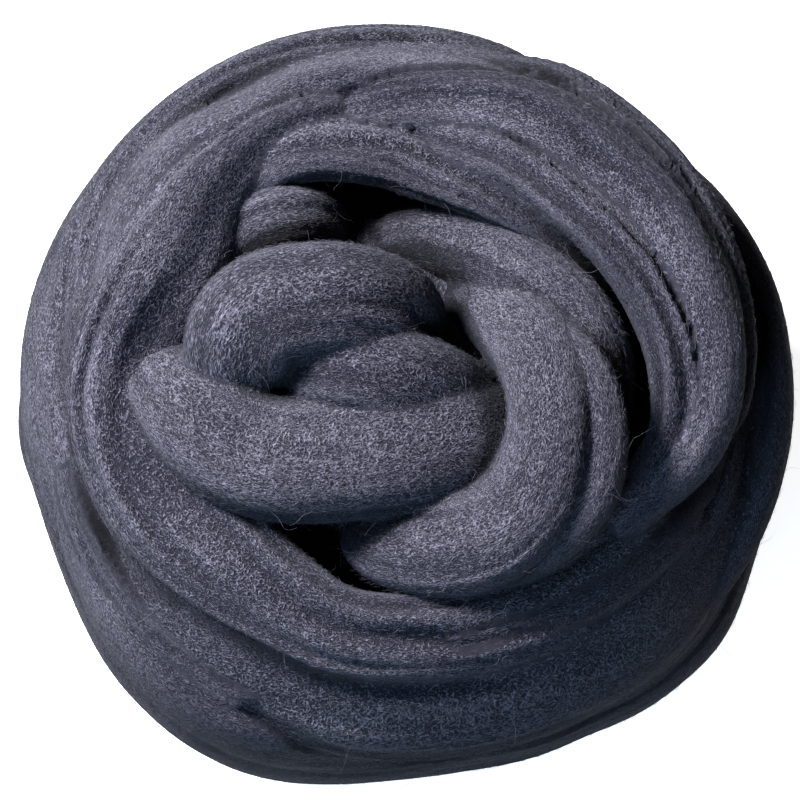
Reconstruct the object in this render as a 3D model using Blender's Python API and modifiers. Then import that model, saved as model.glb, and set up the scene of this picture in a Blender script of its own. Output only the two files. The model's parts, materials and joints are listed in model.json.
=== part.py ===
"""A squat ball wound by hand from one length of wool roving.

The ball stands on the XY plane with +Z up. Its origin is under the middle of its box.
Each turn that shows is a flattened tube through a few stations, and the turns are fused
with the packed wool inside them into one closed solid, pressed flat where it rests.
"""

import math

import bmesh
import bpy

# Driving dimensions, in millimetres and degrees.
MM = 0.001
SIDE_POINTS = 16  # points round the section of one turn
STEPS_PER_STATION = 4
GRAIN = 1.5  # size of the cells in which the turns are fused
TRIANGLES = 11600  # of the fused ball
FULLNESS = 0.80  # 1 gives an oval section, less a fuller one with squarer shoulders
BOX_MIDDLE = (0.6, -0.1)  # middle of the wound turns, brought over the origin

# The wool packed inside the turns, as two squashed balls.
PACKED_WOOL = (
    # x_mm, y_mm, middle_height_mm, reach_mm, half_height_mm
    (0.0, 0.0, 44.5, 74.0, 46.0),
    (0.0, -8.0, 76.0, 50.0, 21.0),
)

# Reach of the ball's outline, seen from above.
OUTLINE = (
    # bearing_deg, reach_mm
    (0, 90.0),
    (30, 88.5),
    (45, 85.0),
    (60, 86.0),
    (90, 88.0),
    (120, 89.5),
    (150, 90.5),
    (180, 90.0),
    (195, 88.0),
    (210, 89.0),
    (225, 92.5),
    (240, 94.0),
    (255, 91.0),
    (285, 87.0),
    (300, 88.0),
    (315, 91.5),
    (330, 91.5),
)

# Whole turns round the belly, from the underside up. A turn's middle lies inset_mm inside
# the outline, and it is slant_mm higher at slant_bearing_deg and lower on the far side.
BELLY_TURNS = (
    # height_mm, inset_mm, half_breadth_mm, flatness, lean_deg, slant_mm, slant_bearing_deg
    (8.0, 52.0, 15.0, 0.62, -8.0, 0.0, 0.0),
    (15.0, 31.0, 13.0, 0.66, -32.0, 2.0, 60.0),
    (26.0, 17.0, 11.0, 0.72, -58.0, 3.0, 230.0),
    (38.0, 9.5, 10.5, 0.78, -80.0, 4.0, 190.0),
    (50.0, 7.5, 10.5, 0.74, 86.0, 6.0, 160.0),
    (60.0, 9.5, 11.0, 0.68, 74.0, 9.0, 180.0),
)

# Turns round the shoulder and the crown: the flatness of the section, then its stations.
SHOULDER_TURNS = {
    "rim_outer": (0.42, (
        # bearing_deg, reach_mm, top_mm, half_breadth_mm, lean_deg
        (54, 77, 68, 5, 60),
        (64, 81, 78, 8, 70),
        (76, 82, 85, 11, 74),
        (90, 82, 88, 12, 76),
        (106, 82, 90, 13, 78),
        (122, 82, 91, 13, 80),
        (139, 82, 91, 13, 76),
        (155, 81, 91, 14, 68),
        (170, 79, 89, 15, 58),
        (186, 78, 87, 15, 54),
        (201, 78, 84, 14, 54),
        (214, 78, 79, 11, 60),
    )),
    "rim_right": (0.42, (
        (66, 80, 70, 8, 82),
        (48, 81, 73, 11, 84),
        (32, 84, 74, 12, 85),
        (16, 86, 74, 12, 85),
        (0, 86, 73, 12, 82),
        (345, 85, 71, 12, 78),
        (330, 83, 67, 11, 72),
        (314, 82, 61, 8, 68),
    )),
    "shoulder": (0.55, (
        (198, 72, 78, 9, 55),
        (213, 75, 83, 13, 52),
        (230, 75, 86, 15, 50),
        (250, 74, 88, 16, 46),
        (270, 74, 88, 16, 44),
        (290, 74, 88, 16, 44),
        (311, 76, 85, 15, 48),
        (325, 76, 81, 15, 55),
        (341, 77, 78, 14, 62),
        (357, 76, 74, 13, 66),
        (16, 75, 69, 11, 68),
        (34, 74, 62, 8, 70),
    )),
    "rim_inner": (0.40, (
        (14, 64, 82, 4, 40),
        (28, 69, 87, 8, 52),
        (42, 73, 91, 11, 60),
        (57, 74, 94, 13, 62),
        (73, 74, 97, 14, 58),
        (90, 73, 98, 14, 60),
        (107, 72, 99, 13, 68),
        (123, 71, 100, 13, 76),
        (135, 73, 100, 13, 78),
        (147, 73, 100, 13, 76),
        (157, 73, 99, 12, 68),
        (168, 72, 98, 11, 55),
        (181, 70, 94, 8, 40),
    )),
    "main": (0.55, (
        (104, 64, 94, 3, -30),
        (114, 64, 100, 5, -34),
        (126, 63, 102, 8, -36),
        (140, 61, 103, 12, -34),
        (153, 59, 103, 15, -30),
        (166, 60, 103, 15, -22),
        (178, 63, 101, 15, -12),
        (190, 65, 100, 15, 0),
        (202, 65, 99, 15, 6),
        (215, 64, 98, 15, 8),
        (231, 62.5, 98, 14, 10),
        (245, 63.5, 97.5, 12, 12),
        (257, 65.5, 96.5, 10.5, 16),
        (270, 65.5, 96, 10.3, 18),
        (283, 65.5, 95.5, 10.8, 20),
        (296, 66, 94.5, 11.5, 22),
        (310, 67, 92, 12, 26),
        (324, 68, 88.5, 12, 32),
        (338, 69.5, 84, 12, 40),
        (355, 71, 78, 10, 50),
        (14, 72, 70, 7, 60),
    )),
    "bank": (0.55, (
        (143, 47.7, 78, 4, -20),
        (138, 50.3, 87, 6.5, -30),
        (132, 53.6, 94, 8.5, -34),
        (124, 56.5, 98.5, 10, -34),
        (116, 55.3, 101, 10.6, -32),
        (105, 51.7, 101.5, 10.4, -32),
        (93, 48.2, 101, 10, -30),
        (82, 45.3, 100.5, 9.2, -24),
        (69, 43.8, 100, 7.5, -16),
        (57, 44.3, 98.5, 6.3, -10),
        (45, 46.1, 96.5, 5.3, -4),
        (34, 49.1, 93.5, 4.5, 0),
        (25, 52.3, 89, 4, 6),
        (18, 55, 83, 3, 10),
    )),
    "crown_edge": (0.75, (
        (80, 75.2, 90, 2.5, 20),
        (70, 75.3, 95, 4, 30),
        (59, 76.9, 98, 4.6, 36),
        (48, 77, 99.5, 4.8, 42),
        (35, 77.8, 99.5, 5, 46),
        (24, 78.6, 98.5, 5, 50),
        (13, 79.4, 96, 5, 52),
        (3, 79.9, 92, 4.6, 54),
        (355, 79.6, 87, 3.8, 56),
        (348, 78.4, 81, 2.6, 58),
    )),
    "crown_outer": (0.66, (
        (101, 62.7, 92, 3, 10),
        (94, 62.2, 97, 5.5, 12),
        (84, 62.7, 101.5, 8, 14),
        (71, 63.7, 104, 9.3, 16),
        (58, 65.1, 105, 9.6, 20),
        (43, 66.5, 105, 9.8, 24),
        (29, 68.4, 105, 9.8, 26),
        (16, 70.1, 104.5, 9.8, 28),
        (4, 71.3, 102.5, 9.8, 28),
        (353, 71.6, 99, 9.5, 26),
        (342, 69.8, 95.5, 8.6, 22),
        (332, 66, 92.5, 7, 14),
        (323, 63, 91, 5.5, 8),
        (315, 60.5, 87, 3.5, 8),
    )),
    "crown_inner": (0.80, (
        (92, 58.1, 94, 3, -8),
        (82, 53.6, 99, 5, -10),
        (68, 53, 102, 5.9, -10),
        (56, 52.9, 103.5, 6.2, -8),
        (43, 53.1, 104.3, 6.5, -6),
        (31, 55.4, 104.5, 6.8, -4),
        (20, 57.7, 104, 6.8, -2),
        (9, 59.9, 103, 6.6, 0),
        (0, 62.4, 101.5, 6.6, 0),
        (351, 64.2, 98.5, 6.4, 0),
        (343, 64.4, 95, 5.8, 0),
        (334, 63.3, 91.5, 5, 0),
        (325, 61.3, 88, 4, 0),
        (320, 59.5, 83, 2.5, 0),
    )),
    "front_lip": (0.70, (
        (254, 67.1, 88, 2.5, 20),
        (264, 68.9, 92.5, 4, 26),
        (273, 69.5, 94, 5, 28),
        (283, 69.7, 94.5, 5.4, 30),
        (295, 70.2, 93.5, 6, 32),
        (308, 71.9, 91, 6, 36),
        (320, 73.5, 87, 5.5, 40),
        (332, 75.6, 82, 5, 46),
        (344, 77.8, 76, 4, 54),
    )),
}

# Folds over the middle: the flatness of the section, then its stations by place.
CROWN_FOLDS = {
    "hump": (0.90, (
        # x_mm, y_mm, top_mm, half_breadth_mm, lean_deg
        (-42.4, 25.2, 82, 4.5, 0),
        (-39.3, 28.4, 91, 7.5, 0),
        (-34.1, 31.4, 97, 8.6, 0),
        (-27.5, 32.9, 99.5, 8.8, 0),
        (-21.2, 33.6, 96, 8, 0),
        (-16.5, 33.3, 87, 6, 0),
        (-13.9, 33.3, 78, 3, 0),
    )),
    "loop_top": (0.80, (
        (-8.5, 27.9, 90, 3, 0),
        (-3.3, 28.7, 98, 6.5, 0),
        (4.2, 28.3, 103, 8, -6),
        (12.5, 25.4, 105.5, 8.7, -6),
        (21.9, 21.3, 106.5, 8.7, -4),
        (31.3, 15.9, 106.5, 8.6, 0),
        (39.5, 10.7, 105, 8, 8),
        (45.9, 4.4, 101.5, 7, 16),
        (49.2, -2.5, 96, 6, 24),
        (50.4, -9.6, 90, 4.5, 28),
        (49.6, -16, 83, 3, 30),
    )),
    "loop_outer": (0.85, (
        (28.9, 8.7, 98, 3, 0),
        (35.1, 4, 103, 5, 0),
        (41.2, -2.6, 105.5, 6, 4),
        (45.2, -10.9, 106.5, 6.3, 8),
        (46.6, -19.9, 106.5, 6.5, 10),
        (46.1, -28.3, 106, 6.5, 12),
        (43.3, -36.3, 105, 6.8, 14),
        (37.4, -43.4, 103.5, 7, 14),
        (28.9, -48.6, 101, 7, 12),
        (20, -51, 97, 6, 8),
        (11.8, -51.3, 91, 4, 0),
    )),
    "loop": (0.66, (
        (7.1, 27.1, 84, 4.5, 0),
        (11.3, 21.9, 90.5, 7, 0),
        (16, 16.4, 96.5, 8.8, 0),
        (20.5, 11.4, 101.5, 9.6, 0),
        (25.4, 5.7, 105.5, 10.2, 0),
        (30.4, -0.8, 108, 10.5, 0),
        (33.6, -9.5, 109.5, 10, 4),
        (34.6, -18.4, 110, 9.8, 6),
        (33.6, -28, 109.5, 10.3, 8),
        (30.1, -37.5, 108.5, 11.3, 8),
        (23.3, -44.4, 107, 12.2, 6),
        (14.1, -47.9, 104.5, 12.5, 4),
        (3.8, -48.5, 101.5, 11.8, 2),
        (-5.2, -47.2, 97.5, 9.5, 0),
        (-11.8, -43.7, 92.5, 6.5, 0),
        (-16.5, -39.7, 86, 3.5, 0),
    )),
    "fold": (0.62, (
        (29.6, -13.1, 92, 9, 0),
        (22.1, -17.6, 99, 12.5, 2),
        (11.8, -21.7, 104, 14, 4),
        (0, -25.2, 106.5, 15, 6),
        (-12.7, -27.7, 107.5, 15.3, 8),
        (-25.2, -28.5, 107.8, 15.3, 8),
        (-35.8, -26.2, 107.5, 15, 8),
        (-44.2, -20.8, 107, 14, 6),
        (-50.6, -13.4, 105, 12.6, 4),
        (-55.3, -6.2, 101, 10.6, 0),
        (-58.1, 0.5, 95, 7.5, 0),
        (-59.5, 7, 87, 4, 0),
    )),
    "knot_under": (0.62, (
        (-29.6, -3.7, 97, 4, 0),
        (-24, -3.3, 104.5, 8.5, 8),
        (-16.5, -3.1, 109.5, 11, 14),
        (-8.2, -4.5, 111, 12, 16),
        (0, -6.6, 109.5, 12.2, 16),
        (7.5, -9.4, 105.5, 12.2, 14),
        (14.6, -12.7, 100.5, 11.5, 10),
        (21.2, -16.1, 95, 9.5, 0),
    )),
    "knot": (0.74, (
        (5.2, 3.5, 90, 6.5, 0),
        (2.8, 7, 99, 9, 0),
        (-1.4, 10.5, 106, 11, 0),
        (-7.5, 11.4, 110.8, 12, 0),
        (-15.1, 11.3, 113, 12.3, 0),
        (-23.3, 9.9, 113.5, 13.2, 0),
        (-31.1, 7.5, 113.3, 14.2, 4),
        (-36, 3, 112, 14.4, 6),
        (-37.6, -1.6, 109, 13.6, 6),
        (-37.2, -5.1, 103, 12.4, 6),
        (-36.5, -10, 95, 9.5, 0),
    )),
}


def collection(name):
    made = bpy.data.collections.new(name)
    bpy.context.scene.collection.children.link(made)
    return made


def move_to(thing, into):
    for owner in thing.users_collection:
        owner.objects.unlink(thing)
    into.objects.link(thing)


def hide_helper(thing):
    thing.hide_render = True
    thing.display_type = "WIRE"


def wool():
    """Matte slate blue-grey wool."""
    material = bpy.data.materials.new("roving_wool")
    material.use_nodes = True
    shader = material.node_tree.nodes["Principled BSDF"]
    shader.inputs["Base Color"].default_value = (0.105, 0.110, 0.150, 1.0)
    shader.inputs["Roughness"].default_value = 0.95
    shader.inputs["Metallic"].default_value = 0.0
    return material


def polar(bearing, reach):
    angle = math.radians(bearing)
    return reach * math.cos(angle), reach * math.sin(angle)


def middle_height(top, half_breadth, flatness, lean):
    """Height of a section's middle, when its highest point is at top."""
    angle = math.radians(lean)
    return top - half_breadth * math.hypot(math.sin(angle), flatness * math.cos(angle))


def section_profile(flatness, into):
    """The section of a turn: a full oval that reaches one unit to each side."""
    curve = bpy.data.curves.new("section", "CURVE")
    curve.dimensions = "2D"
    spline = curve.splines.new("POLY")
    spline.points.add(SIDE_POINTS - 1)
    for number, point in enumerate(spline.points):
        angle = 2 * math.pi * number / SIDE_POINTS
        across = math.copysign(abs(math.cos(angle)) ** FULLNESS, math.cos(angle))
        rise = math.copysign(abs(math.sin(angle)) ** FULLNESS, math.sin(angle))
        point.co = (across, flatness * rise, 0, 1)
    spline.use_cyclic_u = True
    profile = bpy.data.objects.new("section", curve)
    into.objects.link(profile)
    return profile


def turn_path(name, stations, closed, profile, into):
    """The curve that a turn is swept along, level across where its lean is nought."""
    curve = bpy.data.curves.new(name, "CURVE")
    curve.dimensions = "3D"
    curve.twist_mode = "Z_UP"
    curve.bevel_mode = "OBJECT"
    curve.bevel_object = profile
    curve.use_fill_caps = True
    curve.resolution_u = STEPS_PER_STATION
    spline = curve.splines.new("BEZIER")
    spline.bezier_points.add(len(stations) - 1)
    for point, (x, y, height, half_breadth, lean) in zip(spline.bezier_points, stations):
        point.co = (x * MM, y * MM, height * MM)
        point.handle_left_type = "AUTO"
        point.handle_right_type = "AUTO"
        point.radius = half_breadth * MM
        point.tilt = math.radians(lean)
    spline.use_cyclic_u = closed
    path = bpy.data.objects.new(name, curve)
    into.objects.link(path)
    return path


def swept_turn(name, stations, flatness, closed, into):
    """One turn as a closed mesh, from stations of x, y, height, half breadth and lean."""
    profile = section_profile(flatness, into)
    path = turn_path(name, stations, closed, profile, into)
    evaluated = path.evaluated_get(bpy.context.evaluated_depsgraph_get())
    mesh = bpy.data.meshes.new_from_object(evaluated)
    bpy.data.objects.remove(path)
    bpy.data.objects.remove(profile)
    work = bmesh.new()
    work.from_mesh(mesh)
    bmesh.ops.remove_doubles(work, verts=work.verts, dist=0.00001)
    bmesh.ops.recalc_face_normals(work, faces=work.faces)
    work.to_mesh(mesh)
    work.free()
    tube = bpy.data.objects.new(name, mesh)
    into.objects.link(tube)
    hide_helper(tube)


def belly_stations(height, inset, half_breadth, lean, slant, slant_bearing):
    stations = []
    for bearing, reach in OUTLINE:
        x, y = polar(bearing, reach - inset)
        lift = slant * math.cos(math.radians(bearing - slant_bearing))
        stations.append((x, y, height + lift, half_breadth, lean))
    return stations


def wound_turns(into):
    """Every turn and fold of the roving, as tubes that run into each other."""
    for number, row in enumerate(BELLY_TURNS):
        height, inset, half_breadth, flatness, lean, slant, slant_bearing = row
        stations = belly_stations(height, inset, half_breadth, lean, slant, slant_bearing)
        swept_turn("belly_turn_%d" % number, stations, flatness, True, into)
    for name, (flatness, rows) in SHOULDER_TURNS.items():
        stations = []
        for bearing, reach, top, half_breadth, lean in rows:
            middle = middle_height(top, half_breadth, flatness, lean)
            stations.append((*polar(bearing, reach), middle, half_breadth, lean))
        swept_turn(name, stations, flatness, False, into)
    for name, (flatness, rows) in CROWN_FOLDS.items():
        stations = []
        for x, y, top, half_breadth, lean in rows:
            middle = middle_height(top, half_breadth, flatness, lean)
            stations.append((x, y, middle, half_breadth, lean))
        swept_turn(name, stations, flatness, False, into)


def packed_wool(name, row, into):
    """A squashed ball of the wool inside the turns."""
    x, y, middle, reach, half_height = row
    bpy.ops.mesh.primitive_uv_sphere_add(segments=48, ring_count=24, radius=1.0)
    ball = bpy.context.active_object
    ball.name = name
    for vertex in ball.data.vertices:
        east, north, up = vertex.co
        vertex.co = (
            (x + east * reach) * MM,
            (y + north * reach) * MM,
            (middle + up * half_height) * MM,
        )
    move_to(ball, into)
    return ball


def fused(turns, into):
    """All turns and the packed wool as one skin, drawn with few triangles."""
    work = bmesh.new()
    for tube in turns.objects:
        start = len(work.verts)
        work.from_mesh(tube.data)
        work.verts.ensure_lookup_table()
        bmesh.ops.transform(work, matrix=tube.matrix_world, verts=work.verts[start:])
    mesh = bpy.data.meshes.new("wound_roving")
    work.to_mesh(mesh)
    work.free()
    ball = bpy.data.objects.new("wound_roving", mesh)
    into.objects.link(ball)
    fuse = ball.modifiers.new("fuse_turns", "REMESH")
    fuse.mode = "VOXEL"
    fuse.voxel_size = GRAIN * MM
    soften = ball.modifiers.new("soften_steps", "SMOOTH")
    soften.factor = 0.5
    soften.iterations = 2
    evaluated = ball.evaluated_get(bpy.context.evaluated_depsgraph_get())
    mesh = bpy.data.meshes.new_from_object(evaluated)
    work = bmesh.new()
    work.from_mesh(mesh)
    for pocket in connected_groups(work)[:-1]:
        bmesh.ops.delete(work, geom=list(pocket), context="VERTS")
    bmesh.ops.triangulate(work, faces=work.faces)
    count = len(work.faces)
    work.to_mesh(mesh)
    work.free()
    ball.modifiers.clear()
    ball.data = mesh
    thin = ball.modifiers.new("fewer_triangles", "DECIMATE")
    thin.ratio = TRIANGLES / count
    return ball


def resting_surface(into):
    """The block that presses the underside flat at height nought."""
    depth = 0.05
    bpy.ops.mesh.primitive_cube_add(size=1.0, location=(0, 0, -depth / 2))
    block = bpy.context.active_object
    block.name = "resting_surface"
    block.scale = (0.4, 0.4, depth)
    move_to(block, into)
    hide_helper(block)
    return block


def connected_groups(work):
    groups = []
    unseen = set(work.verts)
    while unseen:
        waiting = [unseen.pop()]
        group = set(waiting)
        while waiting:
            vertex = waiting.pop()
            for edge in vertex.link_edges:
                other = edge.other_vert(vertex)
                if other in unseen:
                    unseen.discard(other)
                    group.add(other)
                    waiting.append(other)
        groups.append(group)
    return sorted(groups, key=len)


def keep_outer_skin(ball):
    """Fixes the fused shape, without the pockets sealed between the turns, over the origin."""
    evaluated = ball.evaluated_get(bpy.context.evaluated_depsgraph_get())
    mesh = bpy.data.meshes.new_from_object(evaluated)
    work = bmesh.new()
    work.from_mesh(mesh)
    for pocket in connected_groups(work)[:-1]:
        bmesh.ops.delete(work, geom=list(pocket), context="VERTS")
    across, along = BOX_MIDDLE
    bmesh.ops.translate(work, verts=work.verts, vec=(-across * MM, -along * MM, 0))
    bmesh.ops.triangulate(work, faces=work.faces)
    work.to_mesh(mesh)
    work.free()
    mesh.shade_smooth()
    mesh.set_sharp_from_angle(angle=math.radians(40))
    ball.modifiers.clear()
    ball.data = mesh


def main():
    for old in list(bpy.data.objects):
        bpy.data.objects.remove(old)
    parts = collection("wound_roving_ball")
    turns = collection("turns")
    cutters = collection("cutters")
    wound_turns(turns)
    for number, row in enumerate(PACKED_WOOL):
        hide_helper(packed_wool("packed_wool_%d" % number, row, turns))
    ball = fused(turns, parts)
    press = ball.modifiers.new("press_flat", "BOOLEAN")
    press.operation = "DIFFERENCE"
    press.object = resting_surface(cutters)
    keep_outer_skin(ball)
    ball.data.materials.clear()
    ball.data.materials.append(wool())


main()
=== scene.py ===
import json
import math

import bmesh
import bpy
import numpy as np
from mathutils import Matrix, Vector

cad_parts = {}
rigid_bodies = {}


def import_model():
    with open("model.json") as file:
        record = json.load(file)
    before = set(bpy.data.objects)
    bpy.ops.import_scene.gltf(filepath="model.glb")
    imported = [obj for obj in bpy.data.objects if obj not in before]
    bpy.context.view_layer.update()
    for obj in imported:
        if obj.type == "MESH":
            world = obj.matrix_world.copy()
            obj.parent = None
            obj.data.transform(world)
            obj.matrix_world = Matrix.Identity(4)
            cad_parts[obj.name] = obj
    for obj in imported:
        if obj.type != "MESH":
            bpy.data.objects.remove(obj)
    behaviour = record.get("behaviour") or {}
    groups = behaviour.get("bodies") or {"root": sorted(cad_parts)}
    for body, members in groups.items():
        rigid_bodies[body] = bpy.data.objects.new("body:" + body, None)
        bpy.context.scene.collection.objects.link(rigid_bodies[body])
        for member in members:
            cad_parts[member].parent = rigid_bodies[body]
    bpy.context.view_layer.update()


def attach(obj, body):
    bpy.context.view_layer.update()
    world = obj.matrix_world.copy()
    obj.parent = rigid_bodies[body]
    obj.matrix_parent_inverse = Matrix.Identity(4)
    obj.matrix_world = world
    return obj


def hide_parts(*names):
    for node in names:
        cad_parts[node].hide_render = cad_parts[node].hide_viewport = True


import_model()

# The view. The photograph looks down on the ball from in front, 75 degrees above the table,
# and the ball nearly fills it. Sizes below are in millimetres unless a name says otherwise.
MM = 0.001
CAMERA_RISE_DEG = 75.0
CAMERA_DISTANCE = 0.9
PHOTO_PIXELS = 800
PIXEL_ON_BALL = 0.2353
PHOTO_WIDTH = PHOTO_PIXELS * PIXEL_ON_BALL * MM
AIM = Vector((-1.07, 1.0, 56.2)) * MM
SENSOR = 36.0

lens = bpy.data.cameras.new("camera")
lens.sensor_width = SENSOR
lens.lens = SENSOR * CAMERA_DISTANCE / PHOTO_WIDTH
camera = bpy.data.objects.new("camera", lens)
rise = math.radians(CAMERA_RISE_DEG)
look_back = Vector((0, -math.cos(rise), math.sin(rise)))
camera.location = AIM + look_back * CAMERA_DISTANCE
camera.rotation_euler = look_back.to_track_quat("Z", "Y").to_euler()
bpy.context.scene.collection.objects.link(camera)
bpy.context.scene.camera = camera


# The belly of the ball: six whole turns of one loose strand of combed wool, laid on each other
# from the underside up. Each is a soft flattened tube whose fibres run lengthwise in locks.
BALL_MIDDLE = (0.6, -0.1)  # middle of the winding, which stands over the origin
PATH_STEP = 1.5
BELLY_STEP = 2.3
END_TAPER = 9.0
SECTION_FULLNESS = 0.78
LAY_RADIUS = 11.0  # the strand's section as the combed pattern sees it
LAY_APART = 700  # how far apart in that pattern two strands begin
OUTLINE = (
    # bearing_deg, reach
    (0, 90.0),
    (30, 88.5),
    (45, 85.0),
    (60, 86.0),
    (90, 88.0),
    (120, 89.5),
    (150, 90.5),
    (180, 90.0),
    (195, 88.0),
    (210, 89.0),
    (225, 92.5),
    (240, 94.0),
    (255, 91.0),
    (285, 87.0),
    (300, 88.0),
    (315, 91.5),
    (330, 91.5),
)
BELLY_TURNS = (
    # height, inset, half_breadth, flatness, lean_deg, slant, slant_bearing_deg
    (8.0, 52.0, 15.0, 0.62, -8.0, 0.0, 0.0),
    (15.0, 31.0, 13.0, 0.66, -32.0, 2.0, 60.0),
    (26.0, 17.0, 11.0, 0.72, -58.0, 3.0, 230.0),
    (38.0, 9.5, 10.5, 0.78, -80.0, 4.0, 190.0),
    (50.0, 7.5, 10.5, 0.74, 86.0, 6.0, 160.0),
    (60.0, 9.5, 11.0, 0.68, 74.0, 9.0, 180.0),
)


class Wire:
    """A socket of a node tree. Sums and products of wires add the tree's own Math nodes."""

    def __init__(self, tree, socket):
        self.tree = tree
        self.socket = socket

    def node(self, kind, settings=None, values=None, out=0):
        """Adds a node of one kind: its settings first, then its sockets' values or wires."""
        made = self.tree.nodes.new(kind)
        for name, value in (settings or {}).items():
            setattr(made, name, value)
        for name, value in (values or {}).items():
            if isinstance(value, Wire):
                self.tree.links.new(value.socket, made.inputs[name])
            else:
                made.inputs[name].default_value = value
        return Wire(self.tree, made.outputs[out])

    def other(self, out):
        """Another output of the node that this wire leaves."""
        return Wire(self.tree, self.socket.node.outputs[out])

    def reckon(self, operation, *terms):
        """A Math node, or a Vector Math node where one of the terms is a vector or a colour."""
        along_axes = any(
            isinstance(term, tuple) or (isinstance(term, Wire) and term.socket.type in ("VECTOR", "RGBA"))
            for term in terms
        )
        if not along_axes:
            return self.node("ShaderNodeMath", {"operation": operation}, dict(enumerate(terms)))
        terms = [(term,) * 3 if isinstance(term, (int, float)) else term for term in terms]
        return self.node("ShaderNodeVectorMath", {"operation": operation}, dict(enumerate(terms)))

    def __add__(self, other):
        return self.reckon("ADD", self, other)

    def __radd__(self, other):
        return self.reckon("ADD", other, self)

    def __sub__(self, other):
        return self.reckon("SUBTRACT", self, other)

    def __rsub__(self, other):
        return self.reckon("SUBTRACT", other, self)

    def __mul__(self, other):
        return self.reckon("MULTIPLY", self, other)

    def __rmul__(self, other):
        return self.reckon("MULTIPLY", other, self)

    def __truediv__(self, other):
        return self.reckon("DIVIDE", self, other)

    def measure(self, operation, *others):
        """A number worked out from vectors, such as a length or a dot product."""
        terms = dict(enumerate((self,) + others))
        return self.node("ShaderNodeVectorMath", {"operation": operation}, terms).other("Value")

    def step(self, low, high):
        """0 below low, 1 above high and smooth between."""
        values = {"Value": self, "From Min": low, "From Max": high}
        return self.node("ShaderNodeMapRange", {"interpolation_type": "SMOOTHSTEP"}, values)

    def noise(self, scale=1.0, detail=2.0, rough=0.5, out=0):
        """Smooth noise at this place, from 0 to 1."""
        values = {"Vector": self, "Scale": scale, "Detail": detail, "Roughness": rough}
        return self.node("ShaderNodeTexNoise", None, values, out)


def named(wire, name, kind):
    """What a mesh carries under this name."""
    return wire.node("GeometryNodeInputNamedAttribute", {"data_type": kind}, {"Name": name})


def store(geometry, name, kind, domain, value):
    """The mesh with one more named value on its points or corners."""
    settings = {"data_type": kind, "domain": domain}
    values = {"Geometry": geometry, "Name": name, "Value": value}
    return geometry.node("GeometryNodeStoreNamedAttribute", settings, values)


def joined_axes(wire, x, y, z):
    """A vector of three numbers."""
    return wire.node("ShaderNodeCombineXYZ", None, {"X": x, "Y": y, "Z": z})


def growing_tree(name, sockets):
    """An empty tree with named inputs, and a wire from each of them."""
    tree = bpy.data.node_groups.new(name, "GeometryNodeTree")
    tree.interface.new_socket("Geometry", in_out="INPUT", socket_type="NodeSocketGeometry")
    for label, kind in sockets:
        tree.interface.new_socket(label, in_out="INPUT", socket_type="NodeSocket" + kind)
    tree.interface.new_socket("Geometry", in_out="OUTPUT", socket_type="NodeSocketGeometry")
    entry = tree.nodes.new("NodeGroupInput")
    wires = {}
    for socket in entry.outputs:
        if socket.name:
            wires[socket.name] = Wire(tree, socket)
    return tree, wires


def finish_tree(geometry, material):
    """The tree's end: instances made real, and the finish on every face."""
    real = geometry.node("GeometryNodeRealizeInstances", None, {"Geometry": geometry})
    dressed = real.node("GeometryNodeSetMaterial", None, {"Geometry": real, "Material": material})
    leave = geometry.tree.nodes.new("NodeGroupOutput")
    geometry.tree.links.new(dressed.socket, leave.inputs["Geometry"])


def grown(name, start, tree, values):
    """Runs a tree on a start mesh and keeps its result as a piece with a plain mesh."""
    thing = bpy.data.objects.new(name, start)
    bpy.context.scene.collection.objects.link(thing)
    growth = thing.modifiers.new(tree.name, "NODES")
    growth.node_group = tree
    for item in tree.interface.items_tree:
        if item.in_out == "INPUT" and item.name in values:
            growth[item.identifier] = values[item.name]
    graph = bpy.context.evaluated_depsgraph_get()
    plain = bpy.data.meshes.new_from_object(
        thing.evaluated_get(graph), preserve_all_data_layers=True, depsgraph=graph
    )
    thing.modifiers.clear()
    thing.data = plain
    plain.name = name
    return thing


def keep_only(mesh, names):
    """Drops the attributes that only the trees needed."""
    spare = [
        layer.name for layer in mesh.attributes
        if not (layer.name.startswith(".") or layer.is_required or layer.name in names)
    ]
    for name in spare:
        mesh.attributes.remove(mesh.attributes[name])


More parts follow.
